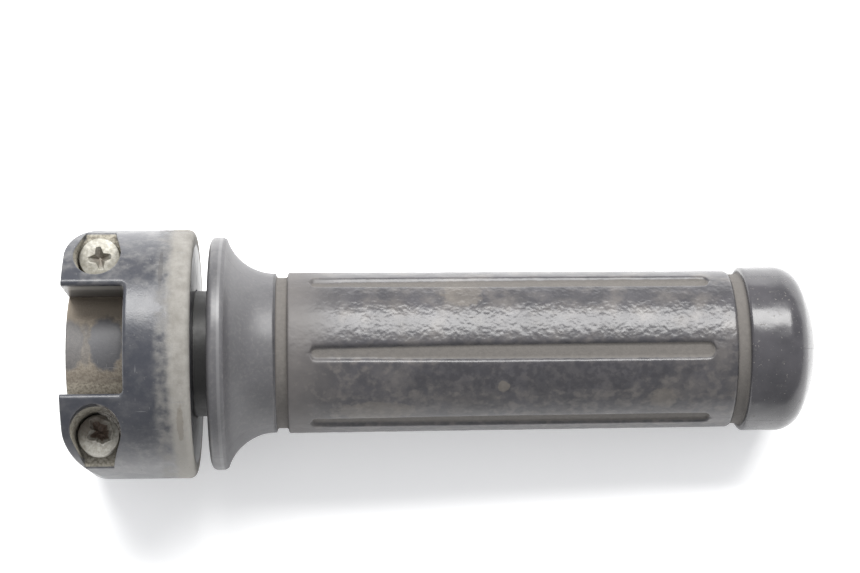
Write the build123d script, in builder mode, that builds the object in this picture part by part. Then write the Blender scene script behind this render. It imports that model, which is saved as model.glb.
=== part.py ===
from build123d import *
from math import asin, cos, degrees, radians, sin
import os

# Throttle grip for a 22.2 mm (7/8 inch) handlebar: a two-part clamp housing and a twist tube
# with a rubber grip. Millimetres. The origin is on the bar's axis, at the housing's inboard
# face. +X runs outboard along the bar, +Z is the side that the clamp screws' heads face.
# Angles about the bar are measured from +Y towards +Z, so a positive turn about +X opens
# the throttle and winds the cable onto the pulley.

# Handlebar and housing
bar_radius = 11.1
housing_length = 25.6
housing_radius = 25.85
corner_round = 8.7
inboard_round = 0.35
rim_round = 1.5
strap_radius = 13.5
pocket_length = 12.5
pocket_half_width = 10.8
lip_round = 0.8

# Pulley chamber inside the housing
chamber_start = 14.6
chamber_end = 22.8
chamber_radius = 21.6
running_radius = 18.3

# Clamp screws, M4 with a pan head
screw_x = 6.7
screw_offset = 18.0
thread_radius = 2.0
head_radius = 4.3
head_height = 2.6
head_top = {"upper": 13.5, "lower": 12.2}
counterbore_floor = 4.65
counterbore_mouth = {"upper": 4.9, "lower": 5.4}
notch_round = 2.2
recess_turn = {"upper": 9, "lower": 33}
recess_depth = 1.9
lock_washer_thickness = 0.9
shank_length = 17.5
insert_radius = 2.9
insert_length = 8.0

# Throttle tube and its pulley
tube_radius = 13.08
tube_bore = 11.3
tube_end = 147.5
pulley_centre = 18.65
pulley_width = 6.4
pulley_radius = 17.6
groove_width = 2.4
groove_floor = 14.4
cable_line = 15.3
nipple_radius = 2.6
nipple_angle = 296
lug_radius = 20.8
lug_start = 45
lug_sweep = 30
throttle_travel = 78
stop_gap = 1

# Cable inlet, tangent to the pulley groove under the housing
boss_radius = 5.5
boss_mouth = 22.3
boss_inner = 14.2
socket_radius = 4.0
socket_bore = 3.0
socket_seat = 7.0
socket_collar = 1.2
inner_cable_hole = 1.3

# Rubber grip
flange_start = 28.8
flange_end = 31.7
flange_radius = 24.25
flange_round = 1.3
bell_radius = 10.5
bell_end = 42.3
bell_foot = 16.6
wire_groove_floor = 15.7
inner_groove_end = 44.7
body_radius = 16.75
body_end_radius = 16.4
outer_groove_start = 136.5
outer_groove_end = 139.0
cap_radius = 17.2
cap_round = 5.5
dome_radius = 30.0
grip_end = 154.8
rubber_depth = 148.0
flute_count = 6
flute_angle = 98.2
flute_start = 49.3
flute_end = 131.6
flute_width = 3.5
flute_depth = 0.9

overcut = 2.0


def turned(x_from, x_to, r_in, r_out, mode=Mode.ADD, start=0, sweep=360):
    """A ring, or a sector of one, turned about the bar's axis."""
    with BuildSketch(Plane.XY.rotated((start, 0, 0))) as section:
        with Locations(((x_from + x_to) / 2, (r_in + r_out) / 2)):
            Rectangle(x_to - x_from, r_out - r_in)
    revolve(section.sketch, axis=Axis.X, revolution_arc=sweep, mode=mode)


def rod(centre, direction, length, radius, mode=Mode.ADD):
    """A round rod or hole that starts at a point and runs in a direction."""
    with BuildSketch(Plane(centre, z_dir=direction)) as circle:
        Circle(radius)
    extrude(circle.sketch, amount=length, mode=mode)


def on_circle(centre, radius, angle):
    """The point at an angle on a circle in the sketch plane."""
    return (centre[0] + radius * cos(radians(angle)), centre[1] + radius * sin(radians(angle)))


# The drum that both halves are cut from.
with BuildPart() as drum:
    rod((0, 0, 0), (1, 0, 0), housing_length, housing_radius)
    fillet(drum.edges().group_by(Axis.X)[-1], rim_round)

# What trims its inboard end: seen along the screws, both corners are well rounded.
outline_reach = housing_radius + 0.05
with BuildPart() as outline:
    rod((0, 0, 0), (1, 0, 0), housing_length + overcut, outline_reach)
    fillet(outline.edges().group_by(Axis.X)[0], inboard_round)
    with BuildSketch(Plane.XY.offset(-housing_radius - overcut)):
        with BuildLine():
            arc_height = outline_reach - corner_round
            Polyline((corner_round, outline_reach), (housing_length + overcut, outline_reach),
                     (housing_length + overcut, -outline_reach), (corner_round, -outline_reach))
            CenterArc((corner_round, -arc_height), corner_round, 270, -90)
            Line((0, -arc_height), (0, arc_height))
            CenterArc((corner_round, arc_height), corner_round, 180, -90)
        make_face()
    extrude(amount=2 * (housing_radius + overcut), mode=Mode.INTERSECT)

# The inlet boss runs along -Y at the height of the cable's straight run onto the pulley.
with BuildPart() as inlet_boss:
    rod((pulley_centre, -boss_inner, -cable_line), (0, -1, 0), boss_mouth - boss_inner, boss_radius)
    fillet(inlet_boss.edges().group_by(Axis.Y)[0], 0.8)

# Everything that is empty in the closed housing: bar bore, pulley chamber and seal seat.
seal_start = 23.4
seal_end = 24.8
seal_radius = 15.4
mouth_radius = tube_radius + 0.35
with BuildPart() as hollow:
    turned(chamber_start, chamber_end, 0, chamber_radius)
    add(inlet_boss.part, mode=Mode.SUBTRACT)
    turned(chamber_start, chamber_end, 0, running_radius)
    turned(-overcut, chamber_start, 0, bar_radius)
    turned(chamber_end, housing_length + overcut, 0, mouth_radius)
    turned(seal_start, seal_end, 0, seal_radius)

# Each half has a relief pocket over the strap that grips the bar.
with BuildPart() as relief_pocket:
    with BuildSketch(Plane.XY):
        with Locations(((pocket_length - overcut) / 2, 0)):
            Rectangle(pocket_length + overcut, 2 * pocket_half_width)
    extrude(amount=housing_radius + overcut)
    turned(-overcut - 1, pocket_length + 1, 0, strap_radius, mode=Mode.SUBTRACT)


def pocket_lips(half):
    """The pocket's three edges where it breaks out through the drum, and its two corners."""
    edges = half.edges().filter_by(lambda e: abs(e.center().Z) > strap_radius + 1)
    along = edges.filter_by(lambda e: abs(abs(e.center().Y) - pocket_half_width) < 0.1)
    across = edges.filter_by(lambda e: abs(e.center().X - pocket_length) < 0.1)
    return along.filter_by(lambda e: e.center().X > 1) + across


def counterbore(side, y, seat):
    """A drafted counterbore that narrows to a notch where it breaks out of the drum's side."""
    notch_y = housing_radius - abs(y)
    sections = []
    for height, radius in ((seat, counterbore_floor), (housing_radius, counterbore_mouth[side])):
        with BuildSketch(Plane((screw_x, y, height))) as section:
            Circle(radius)
            with Locations((0, notch_y if y > 0 else -notch_y)):
                Circle(notch_round)
            make_hull()
        sections.append(section.sketch)
    with BuildPart() as tool:
        loft(sections)
    return tool.part


# Front half: the screws' heads sit in counterbores that break out through its side.
closed_stop = lug_start - stop_gap
open_stop = lug_start + lug_sweep + throttle_travel + stop_gap
with BuildPart() as front_housing:
    add(drum.part)
    split(bisect_by=Plane.XY, keep=Keep.TOP)
    add(relief_pocket.part, mode=Mode.SUBTRACT)
    fillet(pocket_lips(front_housing), lip_round)
    add(outline.part, mode=Mode.INTERSECT)
    add(hollow.part, mode=Mode.SUBTRACT)
    turned(chamber_start, chamber_end, running_radius, chamber_radius + 0.5,
           start=closed_stop - 28, sweep=28)
    turned(chamber_start, chamber_end, running_radius, chamber_radius + 0.5,
           start=open_stop, sweep=24)
    for side, y in (("upper", screw_offset), ("lower", -screw_offset)):
        seat = head_top[side] - head_height - lock_washer_thickness
        add(counterbore(side, y, seat), mode=Mode.SUBTRACT)
        rod((screw_x, y, -overcut), (0, 0, 1), housing_radius, thread_radius + 0.25,
            mode=Mode.SUBTRACT)
front_housing.part.label = "front_housing"

# Rear half: seats for the threaded inserts, the cable inlet and the rib that holds the guide.
guide_start = 246
guide_sweep = 46
with BuildPart() as rear_housing:
    add(drum.part)
    split(bisect_by=Plane.XY, keep=Keep.BOTTOM)
    add(relief_pocket.part.rotate(Axis.X, 180), mode=Mode.SUBTRACT)
    fillet(pocket_lips(rear_housing), lip_round)
    add(outline.part, mode=Mode.INTERSECT)
    add(inlet_boss.part)
    add(hollow.part, mode=Mode.SUBTRACT)
    turned(chamber_start, chamber_end, running_radius, chamber_radius + 0.5,
           start=guide_start + guide_sweep + 0.5, sweep=8)
    for y in (screw_offset, -screw_offset):
        rod((screw_x, y, overcut), (0, 0, -1), overcut + insert_length, insert_radius,
            mode=Mode.SUBTRACT)
        rod((screw_x, y, 0), (0, 0, -1), insert_length + 3.5, thread_radius + 0.25,
            mode=Mode.SUBTRACT)
    rod((pulley_centre, -boss_mouth, -cable_line), (0, -1, 0), 2 * overcut, boss_radius - 0.2,
        mode=Mode.SUBTRACT)
    rod((pulley_centre, -boss_mouth, -cable_line), (0, 1, 0), boss_mouth - boss_inner - 1,
        socket_radius, mode=Mode.SUBTRACT)
    rod((pulley_centre, -boss_mouth, -cable_line), (0, 1, 0), boss_mouth - boss_inner + 3,
        inner_cable_hole, mode=Mode.SUBTRACT)
rear_housing.part.label = "rear_housing"


def clamp_screw(side, y):
    """A pan-head machine screw with a cross recess, its head facing +Z."""
    top = head_top[side]
    under_head = top - head_height
    with BuildPart() as screw:
        rod((screw_x, y, under_head), (0, 0, 1), head_height, head_radius)
        fillet(screw.edges().group_by(Axis.Z)[-1], 1.7)
        rod((screw_x, y, under_head), (0, 0, -1), shank_length, thread_radius)
        chamfer(screw.edges().group_by(Axis.Z)[0], 0.5)
        crosses = []
        for height, span, width in ((top, 4.3, 1.2), (top - recess_depth, 2.6, 0.7)):
            with BuildSketch(Plane((screw_x, y, height), z_dir=(0, 0, 1))) as cross:
                Rectangle(span, width, rotation=recess_turn[side])
                Rectangle(width, span, rotation=recess_turn[side])
            crosses.append(cross.sketch)
        loft(crosses, ruled=True, mode=Mode.SUBTRACT)
    screw.part.label = side + "_clamp_screw"
    return screw.part


upper_clamp_screw = clamp_screw("upper", screw_offset)
lower_clamp_screw = clamp_screw("lower", -screw_offset)

# Split spring washers under the two heads.
with BuildPart() as lock_washers:
    for side, y in (("upper", screw_offset), ("lower", -screw_offset)):
        seat = head_top[side] - head_height - lock_washer_thickness
        rod((screw_x, y, seat), (0, 0, 1), lock_washer_thickness, head_radius - 0.4)
        rod((screw_x, y, seat), (0, 0, 1), lock_washer_thickness, thread_radius + 0.15,
            mode=Mode.SUBTRACT)
        with Locations((screw_x + 3.0, y, seat + lock_washer_thickness / 2)):
            Box(3, 0.6, 2, mode=Mode.SUBTRACT)
lock_washers.part.label = "lock_washers"

# Brass inserts pressed into the rear half, which the screws thread into.
with BuildPart() as threaded_inserts:
    for y in (screw_offset, -screw_offset):
        rod((screw_x, y, 0), (0, 0, -1), insert_length, insert_radius)
        with Locations((screw_x, y, -insert_length / 2)):
            Torus(insert_radius + 0.25, 0.6, mode=Mode.SUBTRACT)
        rod((screw_x, y, 0), (0, 0, -1), insert_length, thread_radius, mode=Mode.SUBTRACT)
threaded_inserts.part.label = "threaded_inserts"

# Steel socket in the inlet boss: the outer cable's ferrule seats in it.
socket_inner_end = boss_inner + 1
socket_mouth = boss_mouth + socket_collar
with BuildPart() as cable_socket:
    rod((pulley_centre, -socket_mouth, -cable_line), (0, 1, 0), socket_collar, socket_radius + 1)
    chamfer(cable_socket.edges().group_by(Axis.Y)[0], 0.4)
    rod((pulley_centre, -boss_mouth, -cable_line), (0, 1, 0), boss_mouth - socket_inner_end,
        socket_radius)
    rod((pulley_centre, -socket_mouth, -cable_line), (0, 1, 0), socket_seat, socket_bore,
        mode=Mode.SUBTRACT)
    rod((pulley_centre, -boss_mouth, -cable_line), (0, 1, 0), boss_mouth, inner_cable_hole,
        mode=Mode.SUBTRACT)
cable_socket.part.label = "cable_socket"

# Nylon shoe behind the pulley: its rib keeps the cable in the groove.
with BuildPart() as cable_guide:
    turned(chamber_start + 0.1, chamber_end - 0.1, running_radius + 0.1, chamber_radius,
           start=guide_start, sweep=guide_sweep)
    turned(pulley_centre - 0.9, pulley_centre + 0.9, 16.7, running_radius + 0.2,
           start=264, sweep=28)
    add(inlet_boss.part, mode=Mode.SUBTRACT)
cable_guide.part.label = "cable_guide"

# Nylon washer that takes the tube's outward thrust, and the felt ring at the mouth.
with BuildPart() as thrust_washer:
    turned(21.9, 22.7, tube_radius + 0.1, 17.0)
thrust_washer.part.label = "thrust_washer"

with BuildPart() as dust_seal:
    turned(seal_start, seal_end, tube_radius + 0.05, seal_radius)
dust_seal.part.label = "dust_seal"

# Throttle tube with its cable pulley and the lug that meets the housing's stops.
pulley_start = pulley_centre - pulley_width / 2
pulley_end = pulley_centre + pulley_width / 2
spline_height = 0.4
spline_count = 8


def splines(mode):
    """Ribs along the tube that key the rubber to it."""
    for i in range(spline_count):
        turned(48, 128, tube_radius - 0.2, tube_radius + spline_height, mode,
               start=i * 360 / spline_count, sweep=6)


with BuildPart() as throttle_tube:
    turned(pulley_start, tube_end, 0, tube_radius)
    chamfer(throttle_tube.edges().group_by(Axis.X)[-1], 0.8)
    turned(pulley_start, pulley_end, 0, pulley_radius)
    turned(pulley_start + 0.6, pulley_end - 0.6, pulley_radius - 0.3, lug_radius,
           start=lug_start, sweep=lug_sweep)
    turned(pulley_centre - groove_width / 2, pulley_centre + groove_width / 2, groove_floor,
           lug_radius + 1, mode=Mode.SUBTRACT, start=180, sweep=220)
    nipple_y = (groove_floor + 0.7) * cos(radians(nipple_angle))
    nipple_z = (groove_floor + 0.7) * sin(radians(nipple_angle))
    rod((pulley_centre - groove_width / 2 - 1, nipple_y, nipple_z), (1, 0, 0), pulley_width,
        nipple_radius, mode=Mode.SUBTRACT)
    splines(Mode.ADD)
    turned(pulley_start - overcut, tube_end + overcut, 0, tube_bore, mode=Mode.SUBTRACT)
throttle_tube.part.label = "throttle_tube"

# One-piece rubber grip: flange, bell, body with six flutes, and a closed end cap between two
# grooves for binding wire.
bell_centre = (bell_end - 0.2, bell_foot + bell_radius)
bell_start_angle = 196.4
corner_height = cap_radius - cap_round
dome_angle = degrees(asin(corner_height / (dome_radius - cap_round)))
dome_centre = (grip_end - dome_radius, 0)
cap_corner = (dome_centre[0] + (dome_radius - cap_round) * cos(radians(dome_angle)),
              corner_height)
with BuildPart() as grip_rubber:
    with BuildSketch(Plane.XY):
        with BuildLine():
            Polyline((grip_end, 0), (flange_start, 0),
                     (flange_start, flange_radius - flange_round))
            CenterArc((flange_start + flange_round, flange_radius - flange_round), flange_round,
                      180, -90)
            Polyline((flange_start + flange_round, flange_radius),
                     (flange_end - 0.4, flange_radius),
                     on_circle(bell_centre, bell_radius, bell_start_angle))
            CenterArc(bell_centre, bell_radius, bell_start_angle, 270 - bell_start_angle)
            Polyline((bell_centre[0], bell_foot), (bell_end, bell_foot),
                     (bell_end, wire_groove_floor), (inner_groove_end, wire_groove_floor),
                     (inner_groove_end, body_radius), (outer_groove_start, body_end_radius),
                     (outer_groove_start, wire_groove_floor),
                     (outer_groove_end, wire_groove_floor), (outer_groove_end, cap_radius),
                     (cap_corner[0], cap_radius))
            CenterArc(cap_corner, cap_round, 90, dome_angle - 90)
            CenterArc(dome_centre, dome_radius, 0, dome_angle)
        make_face()
    revolve(axis=Axis.X)
    for i in range(flute_count):
        turn = flute_angle + i * 360 / flute_count - 90
        flute_plane = Plane.XY.rotated((turn, 0, 0)).offset(body_radius - flute_depth)
        with BuildSketch(flute_plane) as flute:
            with BuildLine():
                half = flute_width / 2
                Line((flute_start + half, -half), (flute_end - half, -half))
                CenterArc((flute_end - half, 0), half, -90, 180)
                Line((flute_end - half, half), (flute_start + half, half))
                CenterArc((flute_start + half, 0), half, 90, 180)
            make_face()
        extrude(flute.sketch, amount=flute_depth + overcut, mode=Mode.SUBTRACT)
    turned(flange_start - overcut, rubber_depth, 0, tube_radius, mode=Mode.SUBTRACT)
    splines(Mode.SUBTRACT)
grip_rubber.part.label = "grip_rubber"

os.makedirs("parts", exist_ok=True)
export_step(front_housing.part, "parts/front_housing.step")
export_step(rear_housing.part, "parts/rear_housing.step")
export_step(upper_clamp_screw, "parts/upper_clamp_screw.step")
export_step(lower_clamp_screw, "parts/lower_clamp_screw.step")
export_step(lock_washers.part, "parts/lock_washers.step")
export_step(threaded_inserts.part, "parts/threaded_inserts.step")
export_step(cable_socket.part, "parts/cable_socket.step")
export_step(cable_guide.part, "parts/cable_guide.step")
export_step(thrust_washer.part, "parts/thrust_washer.step")
export_step(dust_seal.part, "parts/dust_seal.step")
export_step(throttle_tube.part, "parts/throttle_tube.step")
export_step(grip_rubber.part, "parts/grip_rubber.step")
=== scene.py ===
import math

import bpy
import numpy as np
from mathutils import Matrix, Vector, noise


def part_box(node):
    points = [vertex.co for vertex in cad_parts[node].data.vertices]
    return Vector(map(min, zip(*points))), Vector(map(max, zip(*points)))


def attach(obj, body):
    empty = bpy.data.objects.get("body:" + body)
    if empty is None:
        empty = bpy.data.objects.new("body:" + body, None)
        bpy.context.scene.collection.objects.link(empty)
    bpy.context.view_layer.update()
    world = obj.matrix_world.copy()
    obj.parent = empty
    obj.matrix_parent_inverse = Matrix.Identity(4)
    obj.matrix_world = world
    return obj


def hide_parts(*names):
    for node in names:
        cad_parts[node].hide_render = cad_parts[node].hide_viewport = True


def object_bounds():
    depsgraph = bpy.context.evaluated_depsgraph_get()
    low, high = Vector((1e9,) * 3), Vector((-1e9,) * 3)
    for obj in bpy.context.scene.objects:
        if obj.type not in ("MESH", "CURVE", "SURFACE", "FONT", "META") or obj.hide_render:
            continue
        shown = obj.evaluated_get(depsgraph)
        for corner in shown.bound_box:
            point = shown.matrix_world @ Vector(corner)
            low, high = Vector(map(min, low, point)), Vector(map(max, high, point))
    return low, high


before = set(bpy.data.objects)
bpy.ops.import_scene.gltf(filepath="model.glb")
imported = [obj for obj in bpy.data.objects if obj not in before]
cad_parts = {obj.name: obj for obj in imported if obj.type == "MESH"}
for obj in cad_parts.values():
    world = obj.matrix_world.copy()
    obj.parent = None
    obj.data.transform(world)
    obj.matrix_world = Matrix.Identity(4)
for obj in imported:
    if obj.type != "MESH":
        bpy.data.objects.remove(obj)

# A worn throttle grip on a plain white floor. Shapes are worked out in millimetres, in the
# model's own frame: +X outboard along the bar, +Z towards the clamp screws' heads. Angles
# about the bar are in degrees from +Y towards +Z.
cad_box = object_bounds()
MM = 0.001


def box(node):
    """A node's lowest and highest corners at rest, in millimetres."""
    low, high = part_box(node)
    return np.array(low) / MM, np.array(high) / MM


HOUSING_END = box("front_housing")[1][0]
HOUSING_RADIUS = box("front_housing")[1][2]
RUBBER_START, FLANGE_RADIUS = box("grip_rubber")[0][0], box("grip_rubber")[1][1]
GRIP_END = box("grip_rubber")[1][0]
TUBE_END = box("throttle_tube")[1][0]

# The rubber's profile, along the bar from its inboard face and out from the bar's axis.
BORE = 13.08
SPLINED_BORE = 13.5
FLANGE_EDGE = 2.6
BELL_END = 13.5
BELL_FOOT = 16.6
BELL_RADIUS = 10.5
GROOVE_FLOOR = 15.7
BODY_START = 15.9
BODY_RADIUS = 16.75
BODY_END = 107.7
BODY_END_RADIUS = 16.4
CAP_START = 110.2
CAP_RADIUS = 17.2
CAP_ROUND = 5.5
DOME_RADIUS = 30.0
RUBBER_LENGTH = GRIP_END - RUBBER_START
FLUTES = 6
FLUTE_ANGLE = 98.2
FLUTE_START = 49.3
FLUTE_END = 131.6
FLUTE_WIDTH = 3.5
FLUTE_DEPTH = 0.8

# The housing's strap and relief pockets, and the screws' pan heads and M4 threads.
STRAP_RADIUS = 13.5
POCKET_LENGTH = 12.5
POCKET_HALF_WIDTH = 10.8
COUNTERBORE_RADIUS = 4.97
HEAD_HEIGHT = 2.6
HEAD_ROUND = 0.252
HEAD_CROWN = 0.42
THREAD_RADIUS = 2.0
THREAD_DEPTH = 0.38
THREAD_PITCH = 0.7

# The camera of the photo, found by matching outlines.
EYE = (55.06, -60.3, 450.0)
VIEW_DIRECTION = (0.0425, 0.1623, -0.9859)
VIEW_UP = (0.0084, 0.9866, 0.1627)
LENS = 90.76


def from_flange(along):
    """A place along the bar, given from the rubber's inboard face."""
    return RUBBER_START + along


# ---------------------------------------------------------------- materials

class Look:
    """One procedural material, written as sums of masks and colours in millimetres."""

    def __init__(self, name):
        self.material = bpy.data.materials.new(name)
        self.material.use_nodes = True
        self.tree = self.material.node_tree
        self.tree.nodes.clear()
        place = self.node("ShaderNodeTexCoord").outputs["Object"]
        self.place = self.node("ShaderNodeVectorMath", {0: place, "Scale": 1 / MM},
                               operation="SCALE").outputs[0]
        split = self.node("ShaderNodeSeparateXYZ", {0: self.place})
        self.x, self.y, self.z = split.outputs
        self.angle = self.math("DEGREES", self.math("ARCTAN2", self.z, self.y))
        self.radius = self.math("SQRT", self.math("ADD", self.math("MULTIPLY", self.y, self.y),
                                                  self.math("MULTIPLY", self.z, self.z)))

    def node(self, kind, inputs=None, **settings):
        made = self.tree.nodes.new(kind)
        for key, value in settings.items():
            setattr(made, key, value)
        for key, value in (inputs or {}).items():
            if isinstance(value, bpy.types.NodeSocket):
                self.tree.links.new(value, made.inputs[key])
            else:
                made.inputs[key].default_value = value
        return made

    def math(self, operation, a, b=0.0):
        return self.node("ShaderNodeMath", {0: a, 1: b}, operation=operation).outputs[0]

    def step(self, value, low, high):
        """0 below low, 1 above high, or the other way round where low is the larger."""
        flip = low > high
        low, high = min(low, high), max(low, high)
        made = self.node("ShaderNodeMapRange",
                         {"Value": value, "From Min": low, "From Max": high,
                          "To Min": 1.0 * flip, "To Max": 1.0 - flip},
                         interpolation_type="SMOOTHSTEP")
        return made.outputs["Result"]

    def grain(self, size, detail=4.0, roughness=0.55, stretch=(1, 1, 1), shift=0.0, warp=0.0):
        """Noise from 0 to 1 with features of about size millimetres."""
        where = self.node("ShaderNodeVectorMath", {0: self.place, 1: stretch},
                          operation="MULTIPLY").outputs[0]
        where = self.node("ShaderNodeVectorMath", {0: where, 1: (shift, shift, shift)},
                          operation="ADD").outputs[0]
        made = self.node("ShaderNodeTexNoise",
                         {"Vector": where, "Scale": 1 / size, "Detail": detail,
                          "Roughness": roughness, "Distortion": warp})
        return made.outputs["Fac"]

    def less(self, mask):
        """The opposite of a mask."""
        return self.math("SUBTRACT", 1.0, mask)

    def ragged(self, size, depth, detail=4.0, shift=0.0):
        """Noise about zero, depth from its lowest to its highest."""
        noise_value = self.grain(size, detail=detail, shift=shift)
        return self.math("MULTIPLY", self.math("SUBTRACT", noise_value, 0.5), depth)

    def times(self, *masks):
        product = masks[0]
        for mask in masks[1:]:
            product = self.math("MULTIPLY", product, mask)
        return product

    def most(self, *masks):
        largest = masks[0]
        for mask in masks[1:]:
            largest = self.math("MAXIMUM", largest, mask)
        return largest

    def between(self, value, low, high, soft):
        return self.times(self.step(value, low - soft, low + soft),
                          self.step(value, high + soft, high - soft))

    def near(self, x, angle, length, height, ragged=0.5, size=1.5, shift=0.0, surface=None):
        """A ragged stain at a place along and about the bar, with its half sizes."""
        surface = surface or BODY_RADIUS
        along = self.math("DIVIDE", self.math("SUBTRACT", self.x, x), length)
        per_degree = math.radians(1) * surface
        about = self.math("MULTIPLY", self.math("SUBTRACT", self.angle, angle),
                          per_degree / height)
        far = self.math("SQRT", self.math("ADD", self.math("MULTIPLY", along, along),
                                          self.math("MULTIPLY", about, about)))
        edge = self.ragged(size, 2 * ragged, shift=shift)
        return self.step(self.math("ADD", far, edge), 1.05, 0.75)

    def from_axis(self, x, y):
        """Distance from a line along Z."""
        dx, dy = self.math("SUBTRACT", self.x, x), self.math("SUBTRACT", self.y, y)
        return self.math("SQRT", self.math("ADD", self.math("MULTIPLY", dx, dx),
                                           self.math("MULTIPLY", dy, dy)))

    def mix(self, factor, a, b):
        made = self.node("ShaderNodeMix", {0: factor, 6: a, 7: b}, data_type="RGBA")
        return made.outputs[2]

    def blend(self, factor, a, b):
        made = self.node("ShaderNodeMix", {0: factor, 2: a, 3: b}, data_type="FLOAT")
        return made.outputs[0]

    def worn_edge(self, radius, low=0.02, high=0.25):
        """1 along the sharp edges of the mesh, as wide as radius in millimetres."""
        soft = self.node("ShaderNodeBevel", {"Radius": radius * MM}, samples=6).outputs[0]
        true = self.node("ShaderNodeNewGeometry").outputs["Normal"]
        dot = self.node("ShaderNodeVectorMath", {0: soft, 1: true},
                        operation="DOT_PRODUCT").outputs["Value"]
        return self.step(self.less(dot), low, high)

    def finish(self, colour, roughness, bumps=(), metallic=0.0, specular=0.5, edge=0.0,
               sheen=0.0, glow=0.0):
        """Closes the graph. bumps are (height from 0 to 1, depth in millimetres) pairs."""
        normal = None
        if edge:
            normal = self.node("ShaderNodeBevel", {"Radius": edge * MM}, samples=6).outputs[0]
        for height, depth in bumps:
            inputs = {"Height": height, "Distance": depth * MM, "Strength": 1.0}
            if normal:
                inputs["Normal"] = normal
            normal = self.node("ShaderNodeBump", inputs).outputs[0]
        inputs = {"Base Color": colour, "Roughness": roughness, "Metallic": metallic,
                  "Specular IOR Level": specular, "Sheen Weight": sheen,
                  "Emission Color": colour, "Emission Strength": glow}
        if normal:
            inputs["Normal"] = normal
        shader = self.node("ShaderNodeBsdfPrincipled", inputs)
        self.node("ShaderNodeOutputMaterial", {0: shader.outputs[0]})
        return self.material


def shade(red, green, blue):
    return (red, green, blue, 1.0)


def bare_housing(look):
    """Black plastic under pale dust, thickest near the drum's upper and lower sides and palest
    underneath; on those sides it is partly painted reflection of the light and the white floor.
    """
    clean = look.mix(look.step(look.grain(9, shift=3), 0.35, 0.7),
                     shade(0.023, 0.025, 0.033), shade(0.037, 0.038, 0.046))
    # The pale layer is thicker on the upper and lower sides: dust, and partly painted
    # reflection.
    sides = look.most(look.step(look.angle, 75, 55), look.step(look.angle, 128, 152))
    veil = look.times(look.step(look.grain(2.6, detail=6, roughness=0.65), 0.40, 0.78),
                      look.blend(sides, 0.3, 0.9))
    colour = look.mix(veil, clean, shade(0.110, 0.108, 0.108))
    # Paler underneath, where the drum faces the white floor: dust, and partly painted reflection
    # of the floor.
    lowest = look.step(look.angle, 140, 162)
    colour = look.mix(look.times(lowest, 0.35), colour, shade(0.17, 0.168, 0.166))
    specks = look.step(look.grain(0.45, detail=2), 0.68, 0.76)
    return look.mix(look.times(specks, 0.3), colour, shade(0.20, 0.19, 0.18))


def rim_dust_and_light(look, colour):
    """A band of pale dust round the outboard rim, mottled inboard, with a smear and a stain,
    and painted light that makes the dust paler on the lower side.
    """
    lower_side = look.step(look.angle, 95, 160)
    sand_and_light = look.mix(look.step(look.grain(2.4, detail=7, roughness=0.65), 0.3, 0.7),
                    shade(0.150, 0.142, 0.128), shade(0.205, 0.197, 0.182))
    # Painted light: the dust is made paler on the lower side, which the light above reaches
    # less.
    sand_and_light = look.mix(look.times(lower_side, 0.8), sand_and_light, shade(0.27, 0.258, 0.235))
    reach = look.math("ADD", look.x, look.ragged(2.0, 1.6, detail=7))
    outside = look.step(look.radius, HOUSING_RADIUS - 3.5, HOUSING_RADIUS - 2.5)
    band_reach = look.math("SUBTRACT", reach, look.math("MULTIPLY", lower_side, 0.8))
    band = look.times(look.step(band_reach, HOUSING_END - 5.2, HOUSING_END - 3.2), outside)
    mottle = look.times(look.step(reach, HOUSING_END - 7.6, HOUSING_END - 5.8),
                        look.step(look.grain(2.4, detail=5, roughness=0.6, shift=8), 0.30, 0.70),
                        outside)
    dark_spots = look.times(band, look.step(look.grain(0.9, detail=4, shift=5), 0.62, 0.74))
    colour = look.mix(look.times(mottle, 0.5), colour, sand_and_light)
    colour = look.mix(look.times(band, 0.97), colour, sand_and_light)
    colour = look.mix(look.times(dark_spots, 0.3), colour, shade(0.09, 0.082, 0.07))
    stain = look.near(HOUSING_END - 2.0, 130, 0.7, 5.0, ragged=0.6, shift=6,
                      surface=HOUSING_RADIUS)
    colour = look.mix(look.times(stain, band, 0.4), colour, shade(0.115, 0.095, 0.07))
    smear = look.near(HOUSING_END - 5.9, 55.5, 0.5, 6.0, ragged=0.3, shift=41,
                      surface=HOUSING_RADIUS)
    colour = look.mix(look.times(smear, 0.6), colour, shade(0.036, 0.034, 0.035))
    return colour, look.most(band, look.times(mottle, 0.6))


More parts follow.
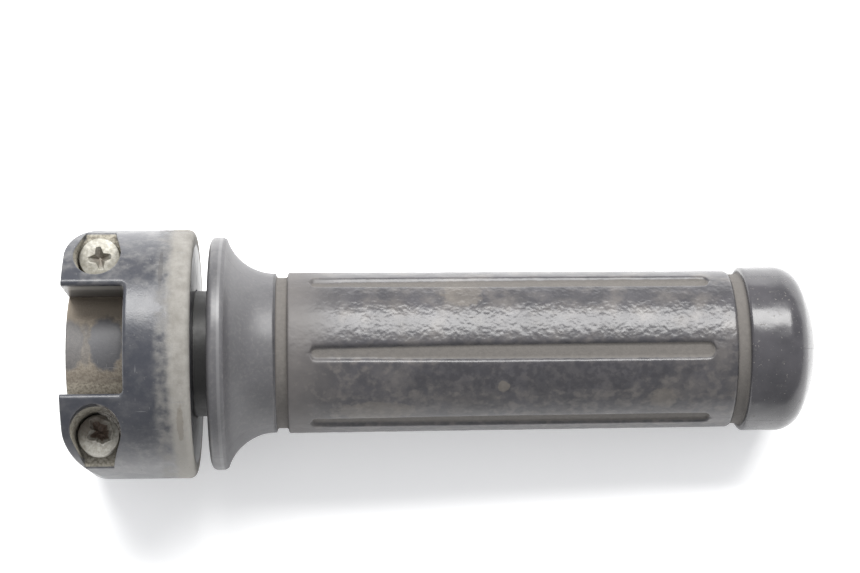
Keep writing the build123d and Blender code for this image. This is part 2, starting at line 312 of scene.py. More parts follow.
def pocket_grime_and_light(look, colour):
    """Brown grime on the strap in the relief pockets, wiped off where it is touched, with
    painted light on it by the upper wall; the pockets' walls made a paler grey, with a painted
    highlight near the upper wall's outer edge."""
    strap = look.times(look.step(look.radius, STRAP_RADIUS + 0.7, STRAP_RADIUS + 0.2),
                       look.step(look.x, POCKET_LENGTH + 0.6, POCKET_LENGTH + 0.2),
                       look.step(look.radius, STRAP_RADIUS - 1.9, STRAP_RADIUS - 1.3))
    grime = look.mix(look.step(look.grain(0.6, detail=6, roughness=0.8), 0.4, 0.62),
                     shade(0.135, 0.115, 0.092), shade(0.215, 0.190, 0.155))
    # Painted light: the grime is made paler next to the upper wall, in the wall's shade.
    grime = look.mix(look.step(look.y, 3.5, 8.5), grime, shade(0.30, 0.255, 0.205))

    def patch(x, angle, length, height, ragged, shift=0.0):
        return look.near(x, angle, length, height, ragged, 2.0, shift, STRAP_RADIUS)
    oval = patch(8.0, 88, 3.9, 6.2, 0.35)
    inner = patch(7.5, 84, 3.5, 5.6, 0.2)
    dark_rim = look.times(oval, look.less(inner), look.step(look.y, -3.0, 0.0))
    wiped = look.most(oval, look.times(patch(1.0, 88, 3.0, 5.8, 0.3, shift=3), 0.8),
                      look.times(patch(3.8, 88, 1.6, 5.0, 0.3, shift=5), 0.55))
    floor_colour = look.mix(look.times(wiped, 0.9), grime, shade(0.054, 0.056, 0.065))
    floor_colour = look.mix(look.times(dark_rim, 0.6), floor_colour, shade(0.024, 0.024, 0.028))
    silt_edge = look.math("ADD", look.y, look.math("MULTIPLY", look.grain(1.2, shift=2), 2.0))
    silt = look.times(look.step(silt_edge, -5.8, -7.0),
                      look.step(look.grain(0.5, detail=5, roughness=0.8, shift=4), 0.38, 0.6))
    floor_colour = look.mix(look.times(silt, 0.8), floor_colour, shade(0.36, 0.33, 0.27))
    colour = look.mix(strap, colour, floor_colour)

    off_middle = look.math("ABSOLUTE", look.y)
    wall = look.times(look.step(off_middle, POCKET_HALF_WIDTH + 0.2, POCKET_HALF_WIDTH + 0.05),
                      look.step(look.x, POCKET_LENGTH + 0.25, POCKET_LENGTH + 0.05),
                      look.step(look.radius, HOUSING_RADIUS - 1.25, HOUSING_RADIUS - 2.25),
                      look.step(look.radius, STRAP_RADIUS + 0.2, STRAP_RADIUS + 0.7))
    # The pockets' walls are made a paler grey.
    wall_grey = look.blend(look.grain(1.4, detail=5, shift=13), 0.75, 1.0)
    colour = look.mix(look.times(wall, wall_grey), colour, shade(0.145, 0.138, 0.130))
    # Painted highlight: paler still on the upper wall near its outer edge.
    lip = look.times(wall, look.step(look.radius, 19.5, 21.5), look.step(look.y, 0.0, 1.0))
    colour = look.mix(look.times(lip, 0.75), colour, shade(0.30, 0.29, 0.27))
    return colour, look.times(strap, look.blend(wiped, 1.0, 0.35))


def counterbore_dust(look, colour):
    """Packed dust in each screw's counterbore and in the notch that opens it to the side."""
    bores = []
    for screw in ("upper_clamp_screw", "lower_clamp_screw"):
        low, high = box(screw)
        centre = (low + high) / 2
        off_side = look.math("ABSOLUTE", look.math("SUBTRACT", look.x, centre[0]))
        off_middle = look.math("ABSOLUTE", look.y)
        notch = look.times(look.step(off_side, 3.3, 2.9), look.step(off_middle, 19.5, 20.5))
        hole = look.step(look.from_axis(centre[0], centre[1]), 5.7, 5.2)
        bores.append(look.times(
            look.most(hole, notch),
            look.step(look.radius, HOUSING_RADIUS - 0.15, HOUSING_RADIUS - 0.5),
            look.step(look.z, 19.8, 17.5), look.step(look.z, 8.0, 8.5)))
    inside = look.most(*bores)
    dust = look.mix(look.step(look.grain(0.7, detail=6, roughness=0.7, shift=9), 0.35, 0.65),
                    shade(0.16, 0.142, 0.112), shade(0.40, 0.375, 0.31))
    return look.mix(look.times(inside, 0.88), colour, dust), inside


def torn_wall(look, colour):
    """Dark torn plastic with pale chips on the lower counterbore's wall, behind torn_rim."""
    low, high = box("lower_clamp_screw")
    centre = (low + high) / 2
    out = look.from_axis(centre[0], centre[1])
    torn = look.times(look.step(out, 4.3, 4.5), look.step(out, 5.6, 5.3),
                      look.step(look.radius, HOUSING_RADIUS - 0.1, HOUSING_RADIUS - 0.4),
                      look.step(look.x, centre[0] + 0.3, centre[0] + 1.2),
                      look.step(look.y, centre[1] - 0.4, centre[1] + 0.5))
    flakes = look.grain(1.0, detail=2, stretch=(0.7, 0.7, 0.6), shift=51, warp=0.6)
    chips = look.times(torn, look.step(flakes, 0.42, 0.62))
    colour = look.mix(look.times(torn, 0.6), colour, shade(0.070, 0.060, 0.050))
    return look.mix(look.times(chips, 0.8), colour, shade(0.36, 0.34, 0.31)), chips


def scratches(look, colour):
    """Fine pale scratches, some along the bar and some round it."""
    scratch = look.most(
        look.step(look.grain(0.9, detail=1, stretch=(0.12, 1.6, 1.6), shift=1), 0.72, 0.75),
        look.step(look.grain(0.9, detail=1, stretch=(1.6, 0.15, 0.8), shift=7), 0.73, 0.76))
    scratch = look.times(scratch, look.step(look.grain(6, shift=11), 0.45, 0.6))
    return look.mix(look.times(scratch, 0.35), colour, shade(0.17, 0.17, 0.175)), scratch


def housing_plastic():
    """Satin black plastic: a dusty outboard rim, grime in the relief pockets and counterbores,
    and painted reflection, light and highlight mixed into some of these colours.
    """
    look = Look("housing_plastic")
    colour, dusty_rim = rim_dust_and_light(look, bare_housing(look))
    colour, dusty_strap = pocket_grime_and_light(look, colour)
    colour, dusty_bores = counterbore_dust(look, colour)
    colour, chips = torn_wall(look, colour)
    colour, scratch = scratches(look, colour)
    worn = look.worn_edge(0.35)
    colour = look.mix(look.times(worn, look.grain(1.5, shift=12), 0.5), colour,
                      shade(0.16, 0.16, 0.17))

    dusty = look.most(dusty_rim, dusty_strap, dusty_bores)
    rough = look.blend(dusty, look.blend(look.grain(4, detail=6, shift=14), 0.24, 0.38), 0.85)
    bumps = [(look.grain(0.32, detail=3), 0.018), (look.grain(2.5, detail=3, shift=4), 0.05),
             (look.less(scratch), 0.02),
             (look.times(dusty, look.grain(0.35, detail=5, roughness=0.8, shift=6)), 0.10),
             (chips, 0.2)]
    return look.finish(colour, rough, bumps, edge=0.5)


def body_wear(look, colour, on_body):
    """Dust over the rubber body, thinner below and thick inboard, and a darker patch with less
    dust below the middle flute. Gives the colour and the mask of the dusty inboard end."""
    dust = look.mix(look.grain(2.0, detail=4, shift=3), shade(0.080, 0.072, 0.068),
                    shade(0.130, 0.118, 0.108))
    fuzz = look.times(look.step(look.grain(5.0, detail=4, roughness=0.6, shift=5), 0.42, 0.72),
                      look.blend(look.step(look.angle, 70, 100), 0.6, 0.45))
    speckle = look.times(look.step(look.grain(1.7, detail=2.5, roughness=0.5), 0.38, 0.74), 0.62,
                         look.step(look.angle, 75, 105))
    wavy_x = look.math("ADD", look.x, look.math("MULTIPLY", look.grain(5, shift=6), 10.0))
    left_end = look.times(look.step(wavy_x, from_flange(BODY_START) + 20,
                                    from_flange(BODY_START) + 4), 0.52)
    # A darker patch below the middle flute, with less dust on it.
    below_flute_patch = look.near(96, 112, 30, 5.0, ragged=0.7, size=4.0, shift=28)
    dusty = look.times(look.most(fuzz, speckle, left_end), on_body,
                       look.blend(below_flute_patch, 1.0, 0.45))
    colour = look.mix(dusty, colour, dust)
    patchy = look.blend(look.step(look.grain(1.3, detail=3, shift=29), 0.4, 0.6), 0.15, 0.75)
    colour = look.mix(look.times(below_flute_patch, on_body, patchy), colour, shade(0.022, 0.021, 0.025))
    return colour, left_end


def bell_dust_and_light(look, colour):
    """Grey dust on the bell, thinned by the flange as a painted shadow, and a pale ridge line
    that is partly dust, partly painted highlight.
    """
    edge = from_flange(FLANGE_EDGE)
    on_bell = look.step(look.x, from_flange(BELL_END), from_flange(BELL_END) - 0.3)
    # Painted shadow: the bell's dust is thinned just outboard of the flange, so it looks darker
    # there.
    shaded_root = look.between(look.x, edge + 0.5, edge + 1.8, 0.5)
    dusty = look.times(on_bell, look.blend(look.grain(4, detail=5, shift=7), 0.35, 0.75),
                       look.blend(shaded_root, 1.0, 0.45))
    colour = look.mix(dusty, colour, shade(0.084, 0.083, 0.087))
    fine = look.step(look.grain(0.8, detail=4, roughness=0.7, shift=36), 0.45, 0.72)
    colour = look.mix(look.times(fine, on_bell, 0.30), colour, shade(0.125, 0.120, 0.115))
    # A pale line along the flange's ridge: partly dust, partly painted highlight.
    ridge = look.between(look.x, edge - 0.5, edge + 0.1, 0.15)
    return look.mix(look.times(ridge, 0.6), colour, shade(0.125, 0.124, 0.127))


def cap_dust(look, colour, on_cap):
    """Thin dust and pale specks on the end cap. Gives the colour and the specks' mask."""
    dusty = look.step(look.grain(1.2, detail=8, roughness=0.7, shift=9), 0.55, 0.75)
    colour = look.mix(look.times(on_cap, dusty, 0.45), colour, shade(0.10, 0.097, 0.092))
    specks = look.times(on_cap, look.step(look.grain(0.6, detail=2, shift=45), 0.67, 0.72))
    return look.mix(look.times(specks, 0.6), colour, shade(0.13, 0.12, 0.11)), specks


def mud_stains(look, colour):
    """Dried mud in ragged patches: place along and about the bar, half sizes and strength."""
    mud = look.mix(look.grain(1.0, detail=5, shift=1), shade(0.10, 0.086, 0.070),
                   shade(0.16, 0.142, 0.12))
    patches = [(80.5, 50, 4.6, 4.6, 0.4), (62.5, 144, 9.5, 2.6, 0.35),
               (121.3, 135, 2.9, 2.9, 0.35), (88.5, 124, 1.3, 1.3, 0.5),
               (100, -98, 9, 5, 0.4), (70, -42, 6, 4, 0.4), (116, -160, 7, 5, 0.35)]
    for shift, (x, angle, length, height, strength) in enumerate(patches, 21):
        stain = look.near(x, angle, length, height, shift=shift)
        colour = look.mix(look.times(stain, strength), colour, mud)
    return colour


def hollow_dust(look, colour, on_body):
    """Dust packed in the flutes and the two wire grooves. Gives the colour and both masks."""
    wavy_radius = look.math("ADD", look.radius, look.ragged(1.5, 0.3, shift=4))
    flute = look.times(look.step(wavy_radius, 16.15, 15.85), on_body)
    grooves = look.most(
        look.between(look.x, from_flange(BELL_END), from_flange(BODY_START), 0.12),
        look.between(look.x, from_flange(BODY_END), from_flange(CAP_START), 0.12))
    hollow = look.most(flute, look.times(grooves, look.step(look.radius, 16.6, 16.1)))
    dust = look.mix(look.grain(0.9, detail=6, roughness=0.7, shift=15),
                    shade(0.062, 0.057, 0.053), shade(0.126, 0.116, 0.106))
    return look.mix(look.times(hollow, 0.92), colour, dust), hollow, flute


def grip_rubber():
    """Worn rubber: dusty grooves and flutes, a speckled body darker below the middle flute,
    painted shadow and highlight by the flange, and a glossy end cap.
    """
    look = Look("grip_rubber")
    on_body = look.between(look.x, from_flange(BODY_START), from_flange(BODY_END), 0.2)
    on_cap = look.step(look.x, from_flange(CAP_START) - 0.3, from_flange(CAP_START))
    on_flange = look.step(look.x, from_flange(FLANGE_EDGE) + 0.3, from_flange(FLANGE_EDGE))
    clean = look.mix(look.step(look.grain(7, shift=2), 0.35, 0.7),
                     shade(0.030, 0.029, 0.033), shade(0.045, 0.043, 0.048))
    colour, left_end = body_wear(look, clean, on_body)
    colour = bell_dust_and_light(look, colour)
    colour, cap_specks = cap_dust(look, colour, on_cap)
    colour = mud_stains(look, colour)
    colour, hollow, flute = hollow_dust(look, colour, on_body)
    worn = look.worn_edge(0.3, 0.03, 0.3)
    colour = look.mix(look.times(worn, look.grain(2, shift=17), 0.4), colour,
                      shade(0.13, 0.13, 0.13))

    body_rough = look.blend(look.grain(5, detail=6, shift=19), 0.23, 0.43)
    rough = look.blend(on_body, 0.47, body_rough)
    rough = look.blend(look.times(left_end, on_body), rough, 0.80)
    rough = look.blend(on_flange, rough, look.blend(look.grain(2, shift=40), 0.3, 0.44))
    rough = look.blend(on_cap, rough, look.blend(look.grain(3, shift=20), 0.16, 0.30))
    rough = look.blend(look.most(hollow, cap_specks), rough, 0.85)
    facing = look.times(look.step(look.angle, 25, 50), look.step(look.angle, 110, 90))
    hammered = look.times(
        look.step(look.grain(1.25, detail=1.5, roughness=0.5, shift=30), 0.25, 0.75),
        look.blend(on_body, 0.1, 1.0), look.blend(look.most(flute, left_end), 1.0, 0.15),
        look.blend(facing, 0.25, 1.0))
    bumps = [(hammered, 0.070), (look.grain(3.0, detail=3, shift=31), 0.03),
             (look.times(hollow, look.grain(0.4, detail=4, shift=33)), 0.05)]
    return look.finish(colour, rough, bumps)


def metal(name, light, dark, rough, rust_and_shade_mask=None):
    """Dull metal with two tones of grain and, if wanted, dark brown where the mask rust(look)
    is:
    rusted in recesses, and painted shade where the mask also holds it.
    """
    look = Look(name)
    tone = look.step(look.grain(0.8, detail=7, roughness=0.7), 0.35, 0.68)
    colour = look.mix(tone, shade(*dark), shade(*light))
    pits = look.step(look.grain(0.32, detail=5, shift=5), 0.6, 0.72)
    shine = look.math("SUBTRACT", 0.75, look.times(pits, 0.3))
    colour = look.mix(look.times(pits, 0.35), colour, shade(*dark))
    if rust_and_shade_mask:
        rust_and_shade = rust_and_shade_mask(look)
        rust_and_shade_colour = look.mix(look.grain(0.4, detail=5, shift=8),
                               shade(0.030, 0.020, 0.016), shade(0.115, 0.072, 0.045))
        colour = look.mix(rust_and_shade, colour, rust_and_shade_colour)
        shine = look.times(shine, look.less(rust_and_shade))
    roughness = look.blend(look.grain(0.8, detail=6, shift=3), rough - 0.1, rough + 0.12)
    bumps = [(look.grain(0.4, detail=4, shift=1), 0.03),
             (look.grain(2.4, detail=2, shift=2), 0.03)]
    return look.finish(colour, roughness, bumps, metallic=shine)


def plain_plastic(name, light, dark, rough):
    """Moulded nylon with flow marks, a fine grain and handling grime."""
    look = Look(name)
    flow = look.grain(3, detail=5, stretch=(0.4, 1, 1))
    colour = look.mix(flow, shade(*dark), shade(*light))
    grime = look.step(look.grain(1.4, detail=8, roughness=0.7, shift=4), 0.55, 0.75)
    colour = look.mix(look.times(grime, 0.4), colour, shade(*[0.5 * part for part in dark]))
    roughness = look.blend(look.grain(2, shift=5), rough - 0.08, rough + 0.12)
    bumps = [(look.grain(0.3, detail=3), 0.015), (look.grain(2.5, detail=2, shift=6), 0.04)]
    return look.finish(colour, roughness, bumps, edge=0.15)


def felt():
    """Greased felt: short tangled fibres over a darkened ground."""
    look = Look("felt")
    fibres = look.most(look.grain(0.25, detail=3, stretch=(0.3, 1, 1)),
                       look.grain(0.25, detail=3, stretch=(1, 0.3, 1), shift=3),
                       look.grain(0.25, detail=3, stretch=(1, 1, 0.3), shift=6))
    colour = look.mix(look.step(fibres, 0.45, 0.75), shade(0.055, 0.050, 0.045),
                      shade(0.20, 0.18, 0.16))
    grease = look.step(look.grain(3, shift=9), 0.45, 0.65)
    colour = look.mix(look.times(grease, 0.6), colour, shade(0.03, 0.028, 0.025))
    return look.finish(colour, look.blend(grease, 0.95, 0.5), [(fibres, 0.12)], sheen=0.3)


def torn_edge():
    """Torn plastic: pale stress marks along the creases over grimy black."""
    look = Look("torn_plastic")
    streaks = look.step(look.grain(0.5, detail=4, stretch=(0.7, 0.7, 1.6), warp=1.2), 0.38, 0.62)
    colour = look.mix(streaks, shade(0.090, 0.075, 0.060), shade(0.46, 0.44, 0.40))
    rough = look.blend(streaks, 0.45, 0.7)
    return look.finish(colour, rough, [(streaks, 0.08), (look.grain(0.25, shift=2), 0.03)])


def recess_rust_and_shade(side, shift_y, radius, amount, veil):
    """A mask for the rusted depths of a screw's recess and for painted shade on the head's
    upper, inboard side, under the counterbore's wall.
    """
    low, high = box(side + "_clamp_screw")
    centre = (low + high) / 2
    half_x = centre[0] / 2

    def mask(look):
        far = look.from_axis(centre[0], centre[1] + shift_y)
        edge = look.math("ADD", far, look.ragged(0.9, 1.6, shift=3))
        inside = look.step(edge, radius + 0.5, radius - 0.4)
        deep = look.step(look.z, high[2] - 0.35, high[2] - 1.0)
        # Painted shade: the head darkened towards its upper, inboard side, under the
        # counterbore's wall.
        leaning = look.math("SUBTRACT", look.y, look.math("MULTIPLY", look.x, 0.5))
        shaded_side = look.step(leaning, centre[1] - half_x - 0.5, centre[1] - half_x + 3.6)
        return look.times(look.most(look.times(deep, inside), look.times(inside, 0.25),
                                    look.times(shaded_side, veil)), amount)
    return mask


# ---------------------------------------------------------------- mesh pieces

def add_piece(name, vertices, faces, material, body, stands_for=None):
    """A smooth mesh from points in millimetres that rides on a body, and may replace a node."""
    mesh = bpy.data.meshes.new(name)
    mesh.from_pydata((np.array(vertices) * MM).tolist(), [], faces)
    mesh.validate()
    mesh.shade_smooth()
    mesh.materials.append(material)
    piece = bpy.data.objects.new(name, mesh)
    bpy.context.scene.collection.objects.link(piece)
    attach(piece, body)
    if stands_for:
        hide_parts(stands_for)


def closed_tube(loops, first, last):
    """Vertices and faces of a tube of loops of points, closed by a fan at each end."""
    turns = len(loops[0])
    vertices = [first, *(point for loop in loops for point in loop), last]
    after = [(k + 1) % turns for k in range(turns)]
    faces = [(0, 1 + k, 1 + after[k]) for k in range(turns)]
    for start in range(1, 1 + (len(loops) - 1) * turns, turns):
        faces += [(start + k, start + turns + k, start + turns + after[k], start + after[k])
                  for k in range(turns)]
    start = 1 + (len(loops) - 1) * turns
    faces += [(len(vertices) - 1, start + after[k], start + k) for k in range(turns)]
    return vertices, faces


def rounded(points, spacing):
    """A polyline through (along, out, rounding) corners, each rounded by an arc."""
    line = []
    for i, (along, out, rounding) in enumerate(points):
        corner = np.array((along, out))
        if not rounding or i in (0, len(points) - 1):
            line.append(corner)
            continue
        back = np.array(points[i - 1][:2]) - corner
        ahead = np.array(points[i + 1][:2]) - corner
        back, ahead = back / np.linalg.norm(back), ahead / np.linalg.norm(ahead)
        half = math.acos(np.clip(back @ ahead, -1, 1)) / 2
        reach = rounding / math.tan(half)
        inward = (back + ahead) / np.linalg.norm(back + ahead)
        middle = corner + inward * rounding / math.sin(half)
        start, end = corner + back * reach - middle, corner + ahead * reach - middle
        sweep = math.pi - 2 * half
        steps = max(3, round(rounding * sweep / spacing))
        for k in range(steps + 1):
            share = k / steps
            arm = (math.sin((1 - share) * sweep) * start + math.sin(share * sweep) * end)
            line.append(middle + arm / math.sin(sweep))
    return line


def filled(line, limit):
    """The same polyline with points added so that no step is longer than limit(x)."""
    dense = [line[0]]
    for point in line[1:]:
        last = dense[-1]
        gap = np.linalg.norm(point - last)
        steps = max(1, math.ceil(gap / limit((point[0] + last[0]) / 2) - 1e-6))
        dense += [last + (point - last) * (k + 1) / steps for k in range(steps)]
    return dense


def rubber_profile():
    """The rubber from the middle of its end cap, over the outside and back along the bore."""
    bell_x = BELL_END - 0.2
    bell = [(bell_x + BELL_RADIUS * math.cos(math.radians(turn)),
             BELL_FOOT + BELL_RADIUS + BELL_RADIUS * math.sin(math.radians(turn)), 0)
            for turn in range(270, 196, -3)]
    corner_height = CAP_RADIUS - CAP_ROUND
    tilt = math.asin(corner_height / (DOME_RADIUS - CAP_ROUND))
    dome_x = RUBBER_LENGTH - DOME_RADIUS
    corner_x = dome_x + (DOME_RADIUS - CAP_ROUND) * math.cos(tilt)
    dome = [(dome_x + DOME_RADIUS * math.cos(tilt * k / 12),
             DOME_RADIUS * math.sin(tilt * k / 12), 0) for k in range(13)]
    corner = [(corner_x + CAP_ROUND * math.cos(tilt + (math.pi / 2 - tilt) * k / 14),
               corner_height + CAP_ROUND * math.sin(tilt + (math.pi / 2 - tilt) * k / 14), 0)
              for k in range(1, 15)]
    corners = [*dome, *corner, (CAP_START, CAP_RADIUS, 0.7),
               (CAP_START, GROOVE_FLOOR, 0.5), (BODY_END, GROOVE_FLOOR, 0.4),
               (BODY_END, BODY_END_RADIUS, 0.6), (BODY_START, BODY_RADIUS, 0.45),
               (BODY_START, GROOVE_FLOOR, 0.5), (BELL_END, GROOVE_FLOOR, 0.5),
               (BELL_END, BELL_FOOT, 0.35), *bell, (FLANGE_EDGE, FLANGE_RADIUS, 0.3),
               (0, FLANGE_RADIUS, 1.3), (0, BORE, 0.3), (2.0, BORE, 0.3),
               (2.5, SPLINED_BORE, 0), (TUBE_END - RUBBER_START + 0.5, SPLINED_BORE, 0.3),
               (TUBE_END - RUBBER_START + 0.5, 0, 0)]
    line = [point + (RUBBER_START, 0) for point in rounded(corners, 0.3)]

    def limit(x):
        """The longest step along the bar, shorter near the flutes' ends."""
        from_end = min(abs(x - FLUTE_START), abs(x - FLUTE_END))
        return 0.1 if from_end < 0.5 else 0.3 if from_end < 2.2 else 0.66
    return filled(line, limit)


def flute_half_width(x):
    """Half the flute's width at a place along the bar: it is round at both ends and a little
    narrower inboard."""
    half = FLUTE_WIDTH / 2 * min(1, 0.8 + 0.2 * max(0, x - FLUTE_START) / 35)
    into_end = max(FLUTE_START + half - x, x - FLUTE_END + half, 0)
    return max(0, half ** 3 - into_end ** 3) ** (1 / 3)


def sector_columns(x):
    """Offsets of the columns from a flute's middle, in millimetres round the body, and the
    share of the flute's depth at each: they gather at the flute's edges."""
    half = flute_half_width(x)
    half_sector = 2 * math.pi * BODY_RADIUS / FLUTES / 2
    wall = max(half, 0.06)
    edges = [(0, 1), (0.5 * wall, 1), (wall - min(0.62, wall / 2), 0.97),
             (wall - min(0.4, wall / 3), 0.85), (wall - min(0.18, wall / 6), 0.60),
             (wall + 0.04, 0.33), (wall + 0.26, 0.12), (wall + 0.48, 0.03), (wall + 0.72, 0)]
    outer, count = edges[-1][0], 15
    plain = [outer + (half_sector - outer) * (k / count) for k in range(1, count + 1)]
    fade = min(1, half / 0.7)
    side = [(offset, share * fade) for offset, share in edges] + [(p, 0) for p in plain]
    mirrored = [(-offset, share) for offset, share in side[1:-1]]
    return mirrored[::-1] + side


def rubber_piece(material):
    """The one-piece rubber grip, turned from its profile with flutes and slight wear."""
    loops = []
    for x, out in rubber_profile():
        on_body = from_flange(BODY_START) < x < from_flange(BODY_END) and out > BORE + 2.5
        loop = []
        for flute in range(FLUTES):
            middle = math.radians(FLUTE_ANGLE + flute * 360 / FLUTES)
            for offset, share in sector_columns(x):
                turn = middle + offset / BODY_RADIUS
                depth = FLUTE_DEPTH * share * on_body
                place = Vector((x, out * math.cos(turn), out * math.sin(turn)))
                wear = 0.05 * noise.noise(place * 0.35) * (out > BORE + 1)
                radius = max(0, out - depth + wear)
                loop.append((x, radius * math.cos(turn), radius * math.sin(turn)))
        loops.append(loop)
    cap_x, bore_end_x = loops[0][0][0], loops[-1][0][0]
    vertices, faces = closed_tube(loops[1:-1], (cap_x, 0, 0), (bore_end_x, 0, 0))
    add_piece("rubber_grip", vertices, faces, material, "twist_grip",
              "grip_rubber")


def crossed(x, y):
    """Depth of a clean cross recess at a place from the middle of the head, and no burr."""
    turn, reach, deepest = math.radians(8), 2.35, 1.6
    half_tip, taper, side_slope, end_slope = 0.44, 0.72, 1.7, 0.8
    u = x * math.cos(turn) + y * math.sin(turn)
    v = y * math.cos(turn) - x * math.sin(turn)

    def wing(lengthwise, sideways):
        half = half_tip + taper * (1 - abs(lengthwise) / reach)
        return min((half - abs(sideways)) * side_slope, (reach - abs(lengthwise)) * end_slope)
    return max(0, min(deepest, max(wing(u, v), wing(v, u)))), 0


def chewed(x, y):
    """Depth of a recess that slipping drivers have torn open, and the height of its burrs."""
    burr_x, burr_y, burr_height, burr_size = 0.85, 2.75, 0.6, 0.42
    burr = burr_height * math.exp(-(math.hypot(x - burr_x, y - burr_y) / burr_size) ** 2)
    recess_x, recess_y, wall_slope = 0.15, 0.85, 0.95
    x, y = x - recess_x, y - recess_y
    out, angle = math.hypot(x, y), math.atan2(y, x)
    ragged = noise.noise(Vector((1.3 * math.cos(angle), 1.3 * math.sin(angle), 5)))
    nicks = noise.noise(Vector((3.2 * math.cos(angle), 3.2 * math.sin(angle), 2)))
    edge = 2.5 + 0.22 * math.cos(4 * angle - 2.4) + 1.0 * ragged + 0.55 * nicks
    floor = 1.5 + 0.5 * noise.noise(Vector((x, y, 9)) * 1.4)
    lip = 0.10 * math.exp(-((out - edge - 0.15) / 0.25) ** 2)
    return max(0, min(floor, (edge - out) * wall_slope)), burr + lip


def screw_piece(side, material, recess):
    """A clamp screw: domed pan head with a cross recess over a threaded shank."""
    node = side + "_clamp_screw"
    low, high = box(node)
    centre, head = (low + high) / 2, (high[0] - low[0]) / 2
    bottom = low[2] - high[2]
    crown_end = head - HEAD_ROUND
    turns = 144
    angles = [2 * math.pi * k / turns for k in range(turns)]

    def crown(out, angle):
        x, y = out * math.cos(angle), out * math.sin(angle)
        depth, burr = recess(x, y)
        dome = -HEAD_CROWN * (out / head) ** 2
        return dome - depth + burr + 0.03 * noise.noise(Vector((x, y, 7)) * 1.3)

    def thread(height, angle):
        phase = (height / THREAD_PITCH - angle / (2 * math.pi)) % 1
        ridge = THREAD_RADIUS - THREAD_DEPTH * abs(2 * phase - 1)
        return min(ridge, THREAD_RADIUS - 0.5 + height - bottom)

    rings = 72
    loops = [[(crown_end * i / rings, crown(crown_end * i / rings, angle)) for angle in angles]
             for i in range(1, rings + 1)]
    for k in range(1, 9):
        lean = math.radians(90 * k / 8)
        height = -HEAD_CROWN * (crown_end / head) ** 2 - 1.15 * (1 - math.cos(lean))
        loops.append([(crown_end + HEAD_ROUND * math.sin(lean), height)] * turns)
    loops += [[corner] * turns for corner in (
        (head, -HEAD_HEIGHT + 0.1), (head - 0.1, -HEAD_HEIGHT), (THREAD_RADIUS, -HEAD_HEIGHT))]
    length = -HEAD_HEIGHT - bottom
    steps = math.ceil(length / THREAD_PITCH * 6)
    for k in range(1, steps):
        height = -HEAD_HEIGHT - length * k / steps
        loops.append([(thread(height, angle), height) for angle in angles])
    loops.append([(THREAD_RADIUS - 0.5, bottom)] * turns)

    def place(out, angle, height):
        return (centre[0] + out * math.cos(angle), centre[1] + out * math.sin(angle),
                high[2] + height)
    loops = [[place(out, angle, height) for (out, height), angle in zip(loop, angles)]
             for loop in loops]
    vertices, faces = closed_tube(loops, place(0, 0, crown(0, 0)), place(0, 0, bottom))
    add_piece(side + "_screw", vertices, faces, material, "housing", node)


def torn_rim(material):
    """Housing plastic torn up beside the lower screw's head: a creased crescent on the wall."""
    low, high = box("lower_clamp_screw")
    centre = (low + high) / 2
    around, across = 90, 20
    start, sweep, width, rise, thickness = -12, 112, 1.15, 1.7, 0.3
    tops = []
    for i in range(around + 1):
        angle = math.radians(start + sweep * i / around)
        swell = math.sin(math.pi * i / around) ** 0.7
        uneven = noise.noise(Vector((angle * 2.6, 3, 1)))
        inner = COUNTERBORE_RADIUS - swell * (width + 0.5 * uneven) - 0.03
        for k in range(across + 1):
            share = k / across
            out = inner + (COUNTERBORE_RADIUS - inner) * share
            crease = noise.noise(Vector((share * 2.2 + angle, angle * 1.3, 6)))
            fold = 0.17 * math.sin(15 * share + 6 * angle + 5 * crease) * swell
            height = 0.15 + rise * swell * share ** 1.4 + fold
            tops.append((centre[0] + out * math.cos(angle), centre[1] + out * math.sin(angle),
                         high[2] + height))
    vertices = tops + [(x, y, z - thickness) for x, y, z in tops]
    under, row = len(tops), across + 1
    faces = []
    for i in range(around):
        for a in range(i * row, i * row + across):
            faces.append((a, a + 1, a + row + 1, a + row))
            faces.append((under + a, under + a + row, under + a + row + 1, under + a + 1))
    border = [i * row for i in range(around + 1)]
    border += [around * row + k for k in range(1, row)]
    border += [i * row + across for i in range(around - 1, -1, -1)]
    border += range(across - 1, 0, -1)
    faces += [(a, b, under + b, under + a) for a, b in zip(border, border[1:] + border[:1])]
    add_piece("torn_rim", vertices, faces, material, "housing")


def paint(node, material):
    """Gives a CAD node its material."""
    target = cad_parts[node]
    if not target.material_slots:
        target.data.materials.append(material)
    for place in target.material_slots:
        place.material = material


# ---------------------------------------------------------------- scene

def floor():
    """A white floor just under the housing and the end cap, so it lies at a slant."""
    gap = 0.1
    drum_x, drum_low = HOUSING_END - 1.6, -HOUSING_RADIUS - gap
    cap_x, cap_low = GRIP_END - CAP_ROUND, -CAP_RADIUS - gap
    slope = (cap_low - drum_low) / (cap_x - drum_x)
    reach = 3000
    corners = [(drum_x + i * reach, j * reach, drum_low + i * reach * slope)
               for i, j in ((-1, -1), (1, -1), (1, 1), (-1, 1))]
    mesh = bpy.data.meshes.new("floor")
    mesh.from_pydata([[c * MM for c in corner] for corner in corners], [], [(0, 1, 2, 3)])
    look = Look("floor_paper")
    tone = look.mix(look.grain(40, detail=3), shade(0.93, 0.93, 0.935), shade(0.96, 0.96, 0.96))
    paper = look.finish(tone, 0.9, [(look.grain(1.5, detail=2), 0.02)], specular=0.1, glow=0.23)
    mesh.materials.append(paper)
    sheet = bpy.data.objects.new("floor", mesh)
    bpy.context.scene.collection.objects.link(sheet)


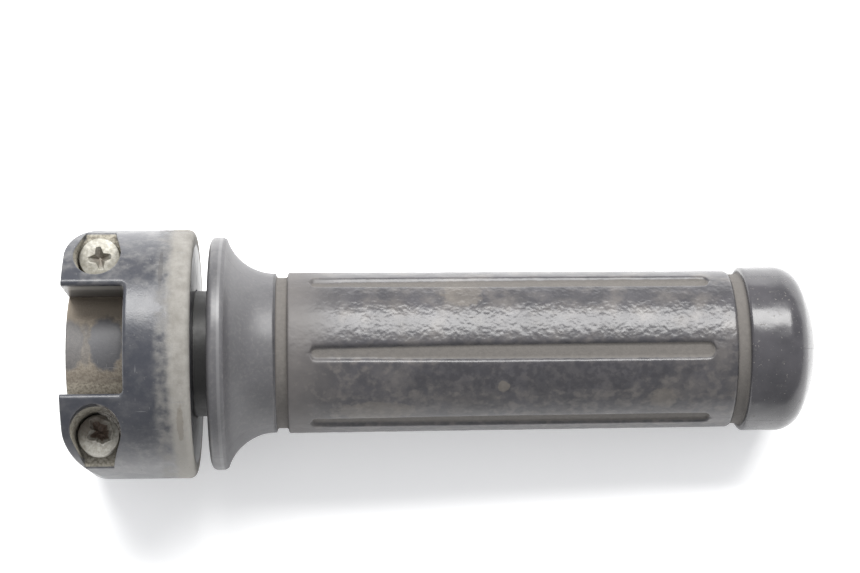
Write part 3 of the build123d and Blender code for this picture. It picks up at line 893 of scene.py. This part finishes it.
def lights():
    """One large soft light beyond the top of the grip, and a white room."""
    middle = (cad_box[0] + cad_box[1]) / 2
    place = Vector((middle.x + 0.05, 0.53, 0.70))
    data = bpy.data.lights.new("key", "AREA")
    data.shape = "RECTANGLE"
    data.size, data.size_y = 1.0, 0.42
    data.energy = 19.0
    data.color = (1.0, 0.995, 0.98)
    lamp = bpy.data.objects.new("key", data)
    lamp.location = place
    lamp.rotation_mode = "QUATERNION"
    lamp.rotation_quaternion = (middle - place).to_track_quat("-Z", "Y")
    bpy.context.scene.collection.objects.link(lamp)

    world = bpy.data.worlds.new("room")
    world.use_nodes = True
    sky = world.node_tree.nodes["Background"]
    sky.inputs["Color"].default_value = (0.97, 0.98, 1.0, 1.0)
    sky.inputs["Strength"].default_value = 0.75
    bpy.context.scene.world = world


def camera():
    """Looks down on the screws' side from slightly below and inboard of the middle."""
    data = bpy.data.cameras.new("camera")
    data.sensor_width = 36
    data.lens = LENS
    data.clip_start, data.clip_end = 0.02, 20
    forward = Vector(VIEW_DIRECTION).normalized()
    right = forward.cross(Vector(VIEW_UP)).normalized()
    up = right.cross(forward)
    turned = Matrix((right, up, -forward)).transposed().to_4x4()
    view = bpy.data.objects.new("camera", data)
    view.matrix_world = Matrix.Translation(Vector(EYE) * MM) @ turned
    bpy.context.scene.collection.objects.link(view)
    bpy.context.scene.camera = view


bpy.context.scene.view_settings.view_transform = "Standard"
bpy.context.scene.view_settings.look = "None"
camera()
lights()
floor()

plastic = housing_plastic()
paint("front_housing", plastic)
paint("rear_housing", plastic)
paint("throttle_tube", plain_plastic("tube_plastic", (0.055, 0.054, 0.053),
                                     (0.030, 0.030, 0.030), 0.45))
paint("cable_guide", plain_plastic("nylon", (0.62, 0.60, 0.53), (0.50, 0.47, 0.40), 0.4))
paint("thrust_washer", plain_plastic("nylon_ring", (0.60, 0.58, 0.51), (0.44, 0.41, 0.35), 0.4))
paint("dust_seal", felt())
paint("lock_washers", metal("washer_steel", (0.42, 0.41, 0.38), (0.24, 0.22, 0.19), 0.45))
paint("threaded_inserts", metal("insert_brass", (0.62, 0.46, 0.20), (0.38, 0.27, 0.12), 0.35))
paint("cable_socket", metal("socket_steel", (0.46, 0.45, 0.43), (0.27, 0.26, 0.24), 0.4))

rubber_piece(grip_rubber())
steel_light, steel_dark = (0.315, 0.307, 0.28), (0.22, 0.21, 0.18)
clean_screw = metal("screw_steel", steel_light, steel_dark, 0.55,
                    rust_and_shade_mask=recess_rust_and_shade("upper", 0, 2.0, 0.5, 0))
# The lower screw's mask also paints shade on its head's upper, inboard side.
rusty_shaded_screw = metal("rusty_shaded_screw", (0.47, 0.46, 0.42), (0.31, 0.295, 0.26), 0.55,
                    rust_and_shade_mask=recess_rust_and_shade("lower", 0.85, 2.8, 0.95, 0.7))
screw_piece("upper", clean_screw, crossed)
screw_piece("lower", rusty_shaded_screw, chewed)
torn_rim(torn_edge())
